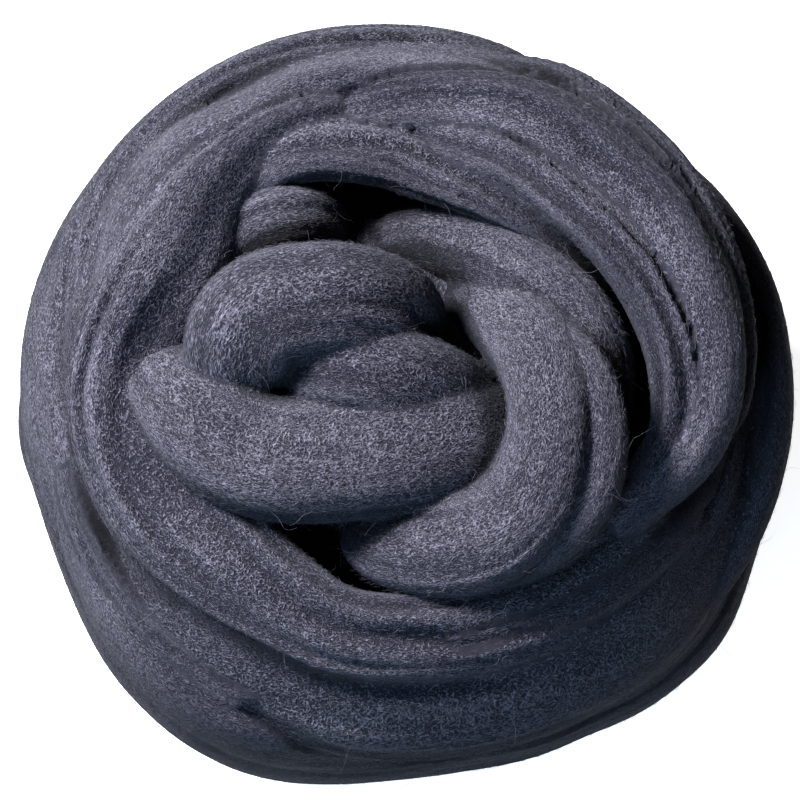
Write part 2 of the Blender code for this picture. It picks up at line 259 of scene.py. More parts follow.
def winding_tree():
    """A strand swept along its path: a flattened section that swells a little here and there."""
    tree, given = growing_tree("winding", (
        ("Round", "Int"),
        ("Lay Radius", "Float"),
        ("Fullness", "Float"),
        ("Swell", "Float"),
        ("Wool", "Material"),
    ))
    path = given["Geometry"]
    path = path.node("GeometryNodeMeshToCurve", None, {"Mesh": path})
    path = store(path, "middle", "FLOAT_VECTOR", "POINT", path.node("GeometryNodeInputPosition"))
    ring = path.node(
        "GeometryNodeCurvePrimitiveCircle", None, {"Resolution": given["Round"], "Radius": 1.0}
    )
    turned = ring.node("GeometryNodeSplineParameter")
    ring = store(ring, "around", "FLOAT", "POINT", turned)
    skin = path.node(
        "GeometryNodeCurveToMesh", None, {"Curve": path, "Profile Curve": ring, "Fill Caps": True}
    )
    across = named(skin, "across", "FLOAT_VECTOR")
    rise = named(skin, "rise", "FLOAT_VECTOR")
    middle = named(skin, "middle", "FLOAT_VECTOR")
    angle = named(skin, "around", "FLOAT") * (2 * math.pi)
    cosine = angle.node("ShaderNodeMath", {"operation": "COSINE"}, {0: angle})
    sine = angle.node("ShaderNodeMath", {"operation": "SINE"}, {0: angle})

    def fuller(part):
        """Squares the section off a little: below 1, Fullness flattens its four sides."""
        size = part.reckon("POWER", part.reckon("ABSOLUTE", part), given["Fullness"])
        return part.reckon("SIGN", part) * size

    lay = joined_axes(
        skin, cosine * given["Lay Radius"], sine * given["Lay Radius"], named(skin, "along", "FLOAT")
    )
    swell = (lay * (45.0, 45.0, 24.0)).noise(detail=1.0) - 0.5
    outward = across * cosine / across.measure("DOT_PRODUCT", across)
    outward = outward + rise * sine / rise.measure("DOT_PRODUCT", rise)
    outward = outward.reckon("NORMALIZE", outward)
    thick = rise.measure("LENGTH").step(0.0, 0.004)
    place = middle + across * fuller(cosine) + rise * fuller(sine)
    place = place + outward * (swell * given["Swell"] * thick)
    skin = store(skin, "lay", "FLOAT_VECTOR", "POINT", lay)
    skin = store(skin, "thick", "FLOAT", "POINT", thick)
    skin = skin.node("GeometryNodeSetPosition", None, {"Geometry": skin, "Position": place})
    finish_tree(skin, given["Wool"])
    return tree


def eased(rows, closed, step):
    """Rows of numbers, drawn out into a smooth run with a point every step."""
    rows = np.array(rows, float)
    count = len(rows)
    spans = count if closed else count - 1
    fractions = np.linspace(0, 1, 12, endpoint=False)[:, None]
    drawn = []
    for span in range(spans):
        if closed:
            before, start, end, after = (rows[(span + k) % count] for k in (-1, 0, 1, 2))
        else:
            before, start, end, after = (rows[min(max(span + k, 0), count - 1)] for k in (-1, 0, 1, 2))
        leave, arrive = (end - before) / 2, (after - start) / 2
        f = fractions
        drawn.append(
            start * (2 * f**3 - 3 * f**2 + 1) + leave * (f**3 - 2 * f**2 + f)
            + end * (3 * f**2 - 2 * f**3) + arrive * (f**3 - f**2)
        )
    drawn = np.vstack(drawn + [rows[:1] if closed else rows[-1:]])
    lengths = np.linalg.norm(np.diff(drawn[:, :3], axis=0), axis=1)
    run = np.concatenate([[0], np.cumsum(lengths)])
    stops = np.linspace(0, run[-1], max(8, int(run[-1] / step)) + 1)
    even = np.column_stack([np.interp(stops, run, column) for column in drawn.T])
    if closed:
        return even[:-1], stops[:-1]
    return even, stops


def path_points(stations, closed, number, step=PATH_STEP):
    """A strand's points with the two half axes of its section and the run of its fibres.
    Stations are rows of x, y, height of the middle, half_breadth, flatness and lean_deg."""
    even, run = eased(stations, closed, step)
    places = even[:, :3] - np.array([*BALL_MIDDLE, 0])
    ahead = np.roll(places, -1, axis=0) - np.roll(places, 1, axis=0)
    if not closed:
        ahead[0], ahead[-1] = places[1] - places[0], places[-1] - places[-2]
    ahead /= np.linalg.norm(ahead, axis=1)[:, None]
    beside = np.cross(ahead, [0, 0, 1])
    beside /= np.linalg.norm(beside, axis=1)[:, None]
    above = np.cross(beside, ahead)
    lean = np.radians(even[:, 5])[:, None]
    half = even[:, 3:4]
    if not closed:
        from_end = np.minimum(run, run[-1] - run)[:, None]
        left = np.clip(1 - from_end / END_TAPER, 0, 1)
        half = half * np.sqrt(np.maximum(1 - left**2, 0.0004))
    across = (beside * np.cos(lean) - above * np.sin(lean)) * half
    rise = (above * np.cos(lean) + beside * np.sin(lean)) * half * even[:, 4:5]
    return {
        "place": places * MM,
        "across": across * MM,
        "rise": rise * MM,
        "comb": ahead,
        "along": (run + LAY_APART * number) * MM,
    }


def path_mesh(strands):
    """The paths of several strands as one mesh of edges that carries their sections."""
    mesh = bpy.data.meshes.new("paths")
    edges = []
    start = 0
    for points, closed in strands:
        count = len(points["place"])
        edges += [(start + k, start + k + 1) for k in range(count - 1)]
        if closed:
            edges.append((start + count - 1, start))
        start += count
    joined = {key: np.concatenate([points[key] for points, _ in strands]) for key in strands[0][0]}
    mesh.from_pydata(joined["place"].tolist(), edges, [])
    for key in ("across", "rise", "comb"):
        layer = mesh.attributes.new(key, "FLOAT_VECTOR", "POINT")
        layer.data.foreach_set("vector", joined[key].astype(np.float32).ravel())
    layer = mesh.attributes.new("along", "FLOAT", "POINT")
    layer.data.foreach_set("value", joined["along"].astype(np.float32))
    return mesh


def strand_wool(name, dark, light):
    """Combed wool on a strand: fine crimped fibres lengthwise, in locks of uneven colour, with painted
    shade that darkens it in its partings, in hollows, towards the bottom and on steep flanks.
    """
    material = bpy.data.materials.new(name)
    material.use_nodes = True
    tree = material.node_tree
    shader = tree.nodes["Principled BSDF"]
    start = Wire(tree, shader.outputs[0])
    lay = start.node("ShaderNodeAttribute", {"attribute_name": "lay"}, out="Vector")
    groove = start.node("ShaderNodeAttribute", {"attribute_name": "groove"}, out="Fac")
    hollow = start.node("ShaderNodeAttribute", {"attribute_name": "hollow"}, out="Fac")
    drift = (lay * (900.0, 900.0, 500.0)).noise(detail=1.0, out="Color") - (0.5, 0.5, 0.5)
    crimped = lay + drift * 0.0011
    broad = (lay * (420.0, 420.0, 22.0)).noise(detail=3.0)

    def frizz(scale, wander, thin):
        """Thin crimped lines, as single fibres show on the wool's face."""
        across = (crimped * scale + (wander, wander, 0.0)).noise(detail=0.0) - 0.5
        return 1.0 - across.reckon("ABSOLUTE", across).step(0.0, thin)

    hairs = frizz((2300.0, 2300.0, 700.0), 0.0, 0.16)
    more_hairs = frizz((1700.0, 1700.0, 900.0), 7.3, 0.12)
    flecks = (lay * (4200.0, 4200.0, 2600.0)).noise(detail=1.0)
    shade = (broad - 0.5) * 0.4 + hairs * 0.45 + more_hairs * 0.4 + (flecks - 0.5) * 1.8 - 0.04
    uneven = (lay * (70.0, 70.0, 40.0) + (3.1, 0.0, 0.0)).noise(detail=1.0)
    # Painted shade: darker in the partings between locks and wherever the skin carries painted shade.
    shade = (shade - groove * 0.3 + (uneven - 0.5) * 0.5) * (1.0 - hollow * 0.5)
    mixed = start.node(
        "ShaderNodeMix",
        {"data_type": "RGBA", "clamp_factor": True},
        {"Factor": shade, 6: (*dark, 1.0), 7: (*light, 1.0)},
        out=2,
    )
    # Painted shade again, stronger: the colour falls to about a fifth where the painted shade is full.
    deep = mixed * (1.0 - hollow * 0.82)
    tree.links.new(deep.socket, shader.inputs["Base Color"])
    bump = start.node(
        "ShaderNodeBump", None, {"Strength": 0.6, "Distance": 0.0003, "Height": hairs + more_hairs + flecks}
    )
    tree.links.new(bump.socket, shader.inputs["Normal"])
    shader.inputs["Roughness"].default_value = 0.9
    shader.inputs["Specular IOR Level"].default_value = 0.15
    shader.inputs["Sheen Weight"].default_value = 0.08
    shader.inputs["Sheen Roughness"].default_value = 0.5
    shader.inputs["Sheen Tint"].default_value = (0.50, 0.56, 0.75, 1.0)
    return material


def close_faces(piece):
    """Merges what a sweep left doubled and points every face outwards."""
    work = bmesh.new()
    work.from_mesh(piece.data)
    bmesh.ops.remove_doubles(work, verts=work.verts, dist=0.000001)
    bmesh.ops.recalc_face_normals(work, faces=work.faces)
    work.to_mesh(piece.data)
    work.free()


WINDING = winding_tree()
STRAND_WOOL = strand_wool("combed_wool", (0.014, 0.015, 0.024), (0.198, 0.194, 0.258))
turns = []


def wound(name, strands, points_round, swell):
    """Strands of one group as closed tubes, which the felted skin is drawn over."""
    tubes = grown(name, path_mesh(strands), WINDING, {
        "Round": points_round,
        "Lay Radius": LAY_RADIUS * MM,
        "Fullness": SECTION_FULLNESS,
        "Swell": swell * MM,
        "Wool": STRAND_WOOL,
    })
    close_faces(tubes)
    return tubes


def polar(bearing, reach):
    """A place seen from the middle of the winding."""
    angle = math.radians(bearing)
    return reach * math.cos(angle), reach * math.sin(angle)


belly = []
for number, (height, inset, half_breadth, flatness, lean, slant, slant_bearing) in enumerate(BELLY_TURNS):
    stations = []
    for bearing, reach in OUTLINE:
        lift = slant * math.cos(math.radians(bearing - slant_bearing))
        stations.append((*polar(bearing, reach - inset), height + lift, half_breadth, flatness, lean))
    belly.append((path_points(stations, True, number, BELLY_STEP), True))
turns.append(wound("belly_turns", belly, 44, 1.6))


# The shoulder: the last turns that go round the outside, under the crown. They lie on the
# belly at a slant, so their edges show as rims. Rows run along each strand.
SHOULDER_TURNS = {
    "rim_outer": (0.42, (
        # bearing_deg, reach, top, half_breadth, lean_deg
        (54, 77, 68, 5, 60),
        (64, 81, 78, 8, 70),
        (76, 82, 85, 11, 74),
        (90, 82, 88, 12, 76),
        (106, 82, 90, 13, 78),
        (122, 82, 91, 13, 80),
        (139, 82, 91, 13, 76),
        (155, 81, 91, 14, 68),
        (170, 79, 89, 15, 58),
        (186, 78, 87, 15, 54),
        (201, 78, 84, 14, 54),
        (214, 78, 79, 11, 60),
    )),
    "rim_right": (0.42, (
        (66, 80, 70, 8, 82),
        (48, 81, 73, 11, 84),
        (32, 84, 74, 12, 85),
        (16, 86, 74, 12, 85),
        (0, 86, 73, 12, 82),
        (345, 85, 71, 12, 78),
        (330, 83, 67, 11, 72),
        (314, 82, 61, 8, 68),
    )),
    "shoulder": (0.55, (
        (198, 72, 78, 9, 55),
        (213, 75, 83, 13, 52),
        (230, 75, 86, 15, 50),
        (250, 74, 88, 16, 46),
        (270, 74, 88, 16, 44),
        (290, 74, 88, 16, 44),
        (311, 76, 85, 15, 48),
        (325, 76, 81, 15, 55),
        (341, 77, 78, 14, 62),
        (357, 76, 74, 13, 66),
        (16, 75, 69, 11, 68),
        (34, 74, 62, 8, 70),
    )),
    "under_crown": (0.80, (
        (72, 61, 84, 4.5, 60),
        (58, 63, 90, 8, 60),
        (42, 65, 92, 9.5, 60),
        (24, 66, 92, 9.5, 60),
        (6, 66.5, 91, 9.5, 60),
        (350, 66, 88, 9, 60),
        (336, 64, 84, 6, 60),
    )),
    "rim_inner": (0.40, (
        (14, 64, 82, 4, 40),
        (28, 69, 87, 8, 52),
        (42, 73, 91, 11, 60),
        (57, 74, 94, 13, 62),
        (73, 74, 97, 14, 58),
        (90, 73, 98, 14, 60),
        (107, 72, 99, 13, 68),
        (123, 71, 100, 13, 76),
        (135, 73, 100, 13, 78),
        (147, 73, 100, 13, 76),
        (157, 73, 99, 12, 68),
        (168, 72, 98, 11, 55),
        (181, 70, 94, 8, 40),
    )),
    "fan_high": (0.50, (
        (188, 78, 81, 3, 50),
        (200, 80, 82, 4.5, 52),
        (214, 81, 81, 5, 54),
        (228, 82, 80, 5, 54),
        (242, 81.5, 80, 4.5, 52),
        (256, 80, 81, 3, 50),
    )),
    "fan_middle": (0.50, (
        (178, 82, 66, 2.5, 66),
        (190, 82, 70, 4.5, 64),
        (204, 82.5, 72, 5, 62),
        (219, 84.5, 71, 5, 62),
        (234, 86, 70, 5, 62),
        (248, 85, 69, 4.5, 62),
        (262, 83, 69, 4, 62),
        (276, 82, 69, 3, 62),
    )),
    "fan_low": (0.50, (
        (200, 85, 54, 3, 74),
        (214, 87, 58, 5, 72),
        (228, 89.5, 60, 5.5, 70),
        (242, 90.5, 60, 5.5, 70),
        (256, 88, 59, 5, 70),
        (270, 85, 58, 4.5, 72),
        (284, 84, 57, 3, 74),
    )),
}


def middle_height(top, half_breadth, flatness, lean):
    """Height of a section's middle, when its highest point is at top."""
    angle = math.radians(lean)
    return top - half_breadth * math.hypot(math.sin(angle), flatness * math.cos(angle))


def round_the_ball(turns, first_number):
    """Strands from tables of bearing, reach, top, half breadth and lean."""
    strands = []
    for number, (flatness, rows) in enumerate(turns.values(), first_number):
        stations = []
        for bearing, reach, top, half_breadth, lean in rows:
            middle = middle_height(top, half_breadth, flatness, lean)
            stations.append((*polar(bearing, reach), middle, half_breadth, flatness, lean))
        strands.append((path_points(stations, False, number), False))
    return strands


turns.append(wound("shoulder_turns", round_the_ball(SHOULDER_TURNS, 10), 60, 1.4))


# The crown: the broad turn that lies round the top like a nest's rim, and the bank inside it
# at the back. Its right side is two strands side by side that go over the left one.
CROWN_TURNS = {
    "main": (0.55, (
        # bearing_deg, reach, top, half_breadth, lean_deg
        (97, 61.4, 94, 3.4, -20),
        (104, 61.2, 97.5, 5.0, -28),
        (114, 61.2, 100.5, 6.2, -34),
        (126, 60.3, 102, 7.7, -36),
        (140, 58.4, 103, 11.5, -34),
        (153, 56.5, 103, 14.4, -30),
        (166, 57.4, 103, 14.4, -22),
        (178, 60.3, 101, 14.4, -12),
        (190, 62.2, 100, 14.4, 0),
        (202, 62.2, 99, 14.4, 6),
        (215, 61.2, 98, 14.4, 8),
        (231, 59.8, 98, 13.4, 10),
        (245, 60.8, 97.5, 11.5, 12),
        (257, 62.7, 96.5, 10.1, 16),
        (270, 62.7, 96, 9.9, 18),
        (283, 62.7, 95.5, 10.4, 20),
        (296, 63.2, 94.5, 11, 22),
        (310, 64.1, 92, 11.5, 26),
        (324, 65.1, 88.5, 11.5, 32),
        (338, 66.5, 84, 11.5, 40),
        (355, 67.9, 78, 9.6, 50),
        (14, 68.9, 70, 6.7, 60),
    )),
    "bank": (0.55, (
        (142, 47.5, 78, 3.8, -20),
        (137, 50, 87, 6.2, -30),
        (131, 53.5, 94, 8.1, -34),
        (124, 56.5, 98.5, 9.5, -34),
        (115, 55.4, 101, 10.1, -32),
        (105, 51.9, 101.5, 9.9, -32),
        (93, 48.4, 101, 9.5, -30),
        (82, 45.3, 100.5, 8.7, -24),
        (69, 43.3, 100, 7.1, -16),
        (57, 43.4, 98.5, 6, -10),
        (46, 45, 96.5, 5, -4),
        (34, 47.8, 93.5, 4.3, 0),
        (26, 51.1, 89, 3.8, 6),
        (18, 53.8, 83, 2.8, 10),
    )),
    "crown_edge": (0.75, (
        (81, 74.6, 90, 2.4, 20),
        (70, 74.6, 95, 3.8, 30),
        (60, 75.9, 98, 4.4, 36),
        (48, 75.6, 99.5, 4.6, 42),
        (36, 76, 99.5, 4.8, 46),
        (24, 76.4, 98.5, 4.8, 50),
        (13, 76.9, 96, 4.8, 52),
        (4, 77.3, 92, 4.4, 54),
        (356, 77, 87, 3.6, 56),
        (349, 76, 81, 2.5, 58),
    )),
    "crown_outer": (0.66, (
        (108, 61.2, 94, 3.4, 8),
        (101, 61.6, 97.5, 5.0, 10),
        (94, 61.8, 99.5, 6.4, 12),
        (84, 62.3, 101.5, 7.6, 14),
        (71, 63.2, 104, 8.8, 16),
        (58, 64.5, 105, 9.1, 20),
        (44, 65.4, 105, 9.3, 24),
        (31, 66.7, 105, 9.3, 26),
        (17, 67.8, 104.5, 9.3, 28),
        (6, 68.5, 102.5, 9.3, 28),
        (354, 68.5, 99, 9, 26),
        (343, 66.6, 95.5, 8.2, 22),
        (333, 62.7, 92.5, 6.6, 14),
        (323, 59.8, 91, 5.2, 8),
        (315, 57.7, 87, 3.3, 8),
    )),
    "crown_inner": (0.80, (
        (92, 57.2, 94, 2.8, -8),
        (82, 52.9, 99, 4.8, -10),
        (69, 52.3, 102, 5.6, -10),
        (56, 51.9, 103.5, 5.9, -8),
        (43, 51.9, 104.3, 6.2, -6),
        (32, 53.8, 104.5, 6.5, -4),
        (20, 56.5, 104, 6.6, -2),
        (10, 58.9, 103, 6.6, 0),
        (1, 61.3, 101.5, 6.6, 0),
        (352, 62.8, 98.5, 6.5, 0),
        (344, 62.7, 95, 5.7, 0),
        (334, 60.3, 91.5, 4.8, 0),
        (326, 58.5, 88, 3.8, 0),
        (320, 57.1, 83, 2.4, 0),
    )),
    "front_lip": (0.70, (
        (254, 63.7, 88, 2.4, 20),
        (264, 64.8, 92.5, 3.8, 26),
        (273, 65.1, 94, 4.8, 28),
        (283, 65.2, 94.5, 5.1, 30),
        (296, 65.8, 93.5, 5.7, 32),
        (308, 67.7, 91, 5.7, 36),
        (320, 69.8, 87, 5.2, 40),
        (332, 72.6, 82, 4.8, 46),
        (345, 75.8, 76, 3.8, 54),
    )),
}
turns.append(wound("crown_turns", round_the_ball(CROWN_TURNS, 20), 60, 1.4))


# The folds in the middle: the strand's last length, laid over the crown as a loop on the
# right, a broad fold and a knot whose end is tucked down inside the loop.
CROWN_FOLDS = {
    "hump": (0.90, (
        # x, y, top, half_breadth, lean_deg
        (-41.7, 25.7, 82, 4.3, 0),
        (-38.4, 29.4, 91, 7.1, 0),
        (-33.2, 32.4, 97, 8.2, 0),
        (-26.8, 33.8, 99.5, 8.4, 0),
        (-20.7, 34.4, 96, 7.6, 0),
        (-16.2, 34.1, 87, 5.7, 0),
        (-13.7, 33.6, 78, 2.8, 0),
    )),
    "loop_top": (0.80, (
        (-8.3, 29.9, 82, 2.8, 0),
        (-3.2, 31.5, 88, 6.2, 0),
        (4.1, 31.7, 92, 7.6, -4),
        (12.1, 29.5, 94.5, 8.7, -2),
        (21.2, 25.3, 96.5, 9, 0),
        (30.2, 19.1, 99, 8.7, 2),
        (38, 12.7, 101, 8, 8),
        (44, 5.5, 100.5, 6.6, 16),
        (47.3, -1.3, 95.5, 5.7, 24),
        (48.6, -8.5, 90, 4.3, 28),
        (48.1, -15, 83, 2.8, 30),
    )),
    "loop_outer": (0.85, (
        (27.8, 8.6, 98, 2.8, 0),
        (33.5, 4.4, 103, 4.8, 0),
        (39.2, -1.7, 105.5, 5.7, 4),
        (42.8, -9.5, 106.5, 6, 8),
        (44.1, -18, 106.5, 6.2, 10),
        (43.5, -25.9, 106, 6.2, 12),
        (40.8, -33.4, 105, 6.5, 14),
        (35.3, -40.1, 103.5, 6.6, 14),
        (27.3, -45, 101, 6.6, 12),
        (18.9, -47.4, 97, 5.7, 8),
        (11.2, -48.3, 91, 3.8, 0),
    )),
    "loop": (0.66, (
        (7.9, 28.6, 78, 4.3, 0),
        (12, 23.3, 85, 6.6, 0),
        (16.5, 17.9, 91.5, 8.4, 0),
        (20.9, 13, 96.5, 9.1, 0),
        (25.5, 7.4, 101.5, 9.7, 0),
        (29.6, 0.9, 105.5, 10, 0),
        (31.9, -7.6, 108.5, 9.5, 4),
        (32.4, -16.2, 109.5, 9.3, 6),
        (31.2, -25.3, 109.5, 9.8, 8),
        (27.9, -34, 108.5, 10.7, 8),
        (21.7, -40.4, 107, 11.6, 6),
        (13.3, -43.4, 104.5, 11.9, 4),
        (4.7, -43.5, 101.5, 11.2, 2),
        (-3.2, -42.5, 97.5, 9.3, 0),
        (-9, -40.1, 92.5, 6.6, 0),
        (-13.3, -37.1, 86, 3.3, 0),
    )),
    "fold": (0.62, (
        (28.6, -10.9, 90, 8.5, 0),
        (21.2, -14.7, 97, 11.9, 2),
        (11.2, -18.6, 103, 13.3, 4),
        (-0, -21.9, 106.5, 14.2, 6),
        (-12.1, -23.7, 107.5, 14.5, 8),
        (-23.9, -24.4, 107.8, 14.5, 8),
        (-33.9, -22.6, 107.5, 14.2, 8),
        (-42, -17.8, 107, 13.3, 6),
        (-48.2, -11.2, 105, 12, 4),
        (-53, -4.7, 101, 10.1, 0),
        (-56, 1.4, 95, 7.1, 0),
        (-57.8, 7.3, 87, 3.8, 0),
    )),
    "knot_under": (0.62, (
        (-27.5, -3.3, 97, 3.8, 0),
        (-22.4, -3.2, 104, 7.6, 0),
        (-15.7, -3.4, 108, 10, 0),
        (-7.8, -4.4, 108.8, 10.8, 0),
        (-0, -5.9, 107, 11.2, 4),
        (7.2, -7.9, 102.5, 11.4, 6),
        (14, -10.3, 96.5, 10.9, 6),
        (20.4, -13.6, 90, 9, 0),
    )),
    "knot": (0.74, (
        (4.1, 4.5, 90, 6.2, 0),
        (2.3, 7.7, 99, 9, 0),
        (-1.8, 10.3, 106.5, 11.4, 0),
        (-7.7, 11, 111.5, 12.5, 0),
        (-14.4, 11.1, 114, 13.1, 0),
        (-22.2, 10.3, 114.6, 13.5, 0),
        (-29.6, 8.4, 114.3, 13.9, 4),
        (-34.3, 4.6, 113, 13.9, 6),
        (-36.4, 0, 109.5, 12.9, 6),
        (-36.1, -3.6, 103, 11.8, 6),
        (-35.2, -8.1, 95, 9, 0),
    )),
}
folds = []
for number, (flatness, rows) in enumerate(CROWN_FOLDS.values(), 30):
    stations = []
    for x, y, top, half_breadth, lean in rows:
        middle = middle_height(top, half_breadth, flatness, lean)
        stations.append((x, y, middle, half_breadth, flatness, lean))
    folds.append((path_points(stations, False, number), False))
crown_folds = wound("crown_folds", folds, 60, 1.2)


# The wool packed inside the turns: the strand's first length, wound into a close core. It only
# shows as a dark ground in the gaps between the turns that lie on it.
PACKED_WOOL = (
    # y, middle_height, reach, half_height
    (0.0, 46.0, 73.0, 44.5),
    (-8.0, 72.0, 49.0, 16.0),
)
for number, (back, middle, reach, half_height) in enumerate(PACKED_WOOL):
    work = bmesh.new()
    bmesh.ops.create_uvsphere(work, u_segments=64, v_segments=32, radius=1.0)
    for vertex in work.verts:
        east, north, up = vertex.co
        vertex.co = (
            (east * reach - BALL_MIDDLE[0]) * MM,
            (north * reach + back - BALL_MIDDLE[1]) * MM,
            max((middle + up * half_height) * MM, 0.0006),
        )
    mesh = bpy.data.meshes.new("packed_wool_%d" % number)
    work.to_mesh(mesh)
    work.free()
    mesh.shade_smooth()
    mesh.materials.append(STRAND_WOOL)
    lay = mesh.attributes.new("lay", "FLOAT_VECTOR", "POINT")
    lay.data.foreach_set("vector", [part for vertex in mesh.vertices for part in vertex.co.zxy])
    thick = mesh.attributes.new("thick", "FLOAT", "POINT")
    thick.data.foreach_set("value", [1.0] * len(mesh.vertices))
    packed = bpy.data.objects.new("packed_wool_%d" % number, mesh)
    bpy.context.scene.collection.objects.link(packed)
    turns.append(packed)


# The wool's skin. Loose turns of combed wool cling where they touch, so the turns share one
# soft skin and the folds on the crown another. Locks and partings run along the fibres.
# The skin's colour carries painted shade in the hollows between the strands, towards the bottom and on
# steep flanks.
LEAST_SHELL = 600.0  # three times the volume of the smallest shell that is kept
HOLLOW_REACH = 36.0  # wool nearer than this keeps light from a place
PAINTED_SHADE_HEIGHTS = (35.0, 104.0)  # heights between which the painted shade on the lower wool fades out upwards


def felted(name, tubes, grain, share):
    """One closed skin over all tubes, with soft valleys where they touch, without the pockets
    sealed inside. Only a share of its faces is kept, most where it bends most."""
    skin = bpy.data.objects.new(name, tubes.data.copy())
    bpy.context.scene.collection.objects.link(skin)
    fuse = skin.modifiers.new("felt", "REMESH")
    fuse.mode = "VOXEL"
    fuse.voxel_size = grain * MM
    soften = skin.modifiers.new("soften", "SMOOTH")
    soften.factor = 0.5
    soften.iterations = 5
    thin_out = skin.modifiers.new("thin_out", "DECIMATE")
    thin_out.ratio = share
    graph = bpy.context.evaluated_depsgraph_get()
    plain = bpy.data.meshes.new_from_object(skin.evaluated_get(graph), depsgraph=graph)
    skin.modifiers.clear()
    work = bmesh.new()
    work.from_mesh(plain)
    unseen = set(work.verts)
    groups = []
    while unseen:
        waiting = [unseen.pop()]
        group = list(waiting)
        while waiting:
            for edge in waiting.pop().link_edges:
                for vertex in edge.verts:
                    if vertex in unseen:
                        unseen.discard(vertex)
                        group.append(vertex)
                        waiting.append(vertex)
        groups.append(group)
    for group in groups:
        faces = {face for vertex in group for face in vertex.link_faces}
        held = sum(face.calc_center_median().dot(face.normal) * face.calc_area() for face in faces)
        if held < LEAST_SHELL * MM**3:
            bmesh.ops.delete(work, geom=group, context="VERTS")
    work.to_mesh(plain)
    work.free()
    plain.name = name
    skin.data = plain
    return skin


def carding_tree():
    """Gives a skin its locks and partings along the strands' fibres, and the painted shade that darkens its
    colour in hollows, towards the bottom and on steep flanks.
    """
    tree, given = growing_tree("carding", (
        ("Strands", "Object"),
        ("Lock Depth", "Float"),
        ("Crease Depth", "Float"),
        ("Reach", "Float"),
        ("Wool", "Material"),
    ))
    skin = given["Geometry"]
    strands = skin.node("GeometryNodeObjectInfo", None, {"Object": given["Strands"]}, out="Geometry")

    def from_strands(name, kind):
        values = {"Mesh": strands, "Value": named(strands, name, kind)}
        return skin.node("GeometryNodeSampleNearestSurface", {"data_type": kind}, values)

    place = skin.node("GeometryNodeInputPosition")
    normal = skin.node("GeometryNodeInputNormal")
    lay = from_strands("lay", "FLOAT_VECTOR")
    thick = from_strands("thick", "FLOAT")
    closed_in = 0.0  # how much wool stands round a place, felt for with eight rays
    for bearing in range(0, 360, 45):
        angle = math.radians(bearing + 10)
        aside = (math.cos(angle), math.sin(angle), 0.25)
        strike = skin.node("GeometryNodeRaycast", None, {
            "Target Geometry": skin,
            "Source Position": place + normal * 0.0004,
            "Ray Direction": normal * 0.7 + aside,
            "Ray Length": given["Reach"],
        })
        closed_in = strike * (1.0 - strike.other("Hit Distance") / given["Reach"]) + closed_in
    # Painted shade: the colour is darkened where wool closes a place in, towards the bottom and on steep
    # flanks. The same value also thins the nap and softens the relief there.
    hollow = (closed_in / 8.0).step(0.02, 0.42)
    low, high = (height * MM for height in PAINTED_SHADE_HEIGHTS)
    down = 1.0 - place.node("ShaderNodeSeparateXYZ", None, {"Vector": place}, out="Z").step(low, high)
    steep = 1.0 - normal.node("ShaderNodeSeparateXYZ", None, {"Vector": normal}, out="Z").step(-0.1, 0.8)
    hollow = 1.0 - (1.0 - hollow) * (1.0 - down * 0.45) * (1.0 - steep * 0.5)
    drift = (lay * (38.0, 38.0, 16.0)).noise(out="Color") - (0.5, 0.5, 0.5)
    wandering = lay + drift * (0.006, 0.006, 0.0)
    locks = (wandering * (230.0, 230.0, 11.0)).noise(detail=1.0) - 0.5
    fine_locks = (wandering * (620.0, 620.0, 34.0)).noise(detail=1.0) - 0.5
    split = (wandering * (105.0, 105.0, 5.0)).noise(detail=0.0) - 0.5
    crease = 1.0 - split.reckon("ABSOLUTE", split).step(0.0, 0.13)
    parting = (wandering * (250.0, 250.0, 10.0)).noise(detail=0.0) - 0.5
    parting = 1.0 - parting.reckon("ABSOLUTE", parting).step(0.0, 0.14)
    patches = (lay * (60.0, 60.0, 14.0)).noise(detail=0.0).step(0.36, 0.62)
    crease = (crease + parting * 0.35) * (0.15 + patches * 0.85)
    height = (locks * 1.2 + fine_locks * 0.9) * given["Lock Depth"] - crease * given["Crease Depth"]
    place = place + normal * (height * thick * (1.0 - hollow * 0.6))
    parts = place.node("ShaderNodeSeparateXYZ", None, {"Vector": place})
    low = parts.reckon("MAXIMUM", parts.other("Z"), (fine_locks + 0.6) * 0.0006)
    place = joined_axes(parts, parts.other("X"), parts.other("Y"), low)
    skin = store(skin, "lay", "FLOAT_VECTOR", "POINT", lay)
    skin = store(skin, "comb", "FLOAT_VECTOR", "POINT", from_strands("comb", "FLOAT_VECTOR"))
    # The partings and the painted shade are kept for the wool's colour, which darkens with both.
    skin = store(skin, "groove", "FLOAT", "POINT", crease)
    skin = store(skin, "hollow", "FLOAT", "POINT", hollow)
    skin = skin.node("GeometryNodeSetPosition", None, {"Geometry": skin, "Position": place})
    skin = skin.node("GeometryNodeSetShadeSmooth", None, {"Geometry": skin})
    finish_tree(skin, given["Wool"])
    return tree


def fixed(piece):
    """The piece is attached to the ball's body, and the CAD part wound_roving is hidden."""
    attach(piece, "root")
    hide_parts("wound_roving")


CARDING = carding_tree()


def carded(name, tubes, grain, share, lock_depth, crease_depth):
    """The felted and carded skin of a group of strands, as a piece of the ball."""
    skin = felted(name + "_skin", tubes, grain, share)
    piece = grown(name, skin.data, CARDING, {
        "Strands": tubes,
        "Lock Depth": lock_depth * MM,
        "Crease Depth": crease_depth * MM,
        "Reach": HOLLOW_REACH * MM,
        "Wool": STRAND_WOOL,
    })
    bpy.data.objects.remove(skin)
    fixed(piece)
    return piece


with bpy.context.temp_override(active_object=turns[0], selected_editable_objects=turns):
    bpy.ops.object.join()
skins = [
    carded("wound_turns", turns[0], grain=1.1, share=0.62, lock_depth=0.6, crease_depth=1.7),
    carded("folds_on_crown", crown_folds, grain=0.8, share=1.0, lock_depth=0.22, crease_depth=0.55),
]
for tubes in (turns[0], crown_folds):
    bpy.data.objects.remove(tubes)


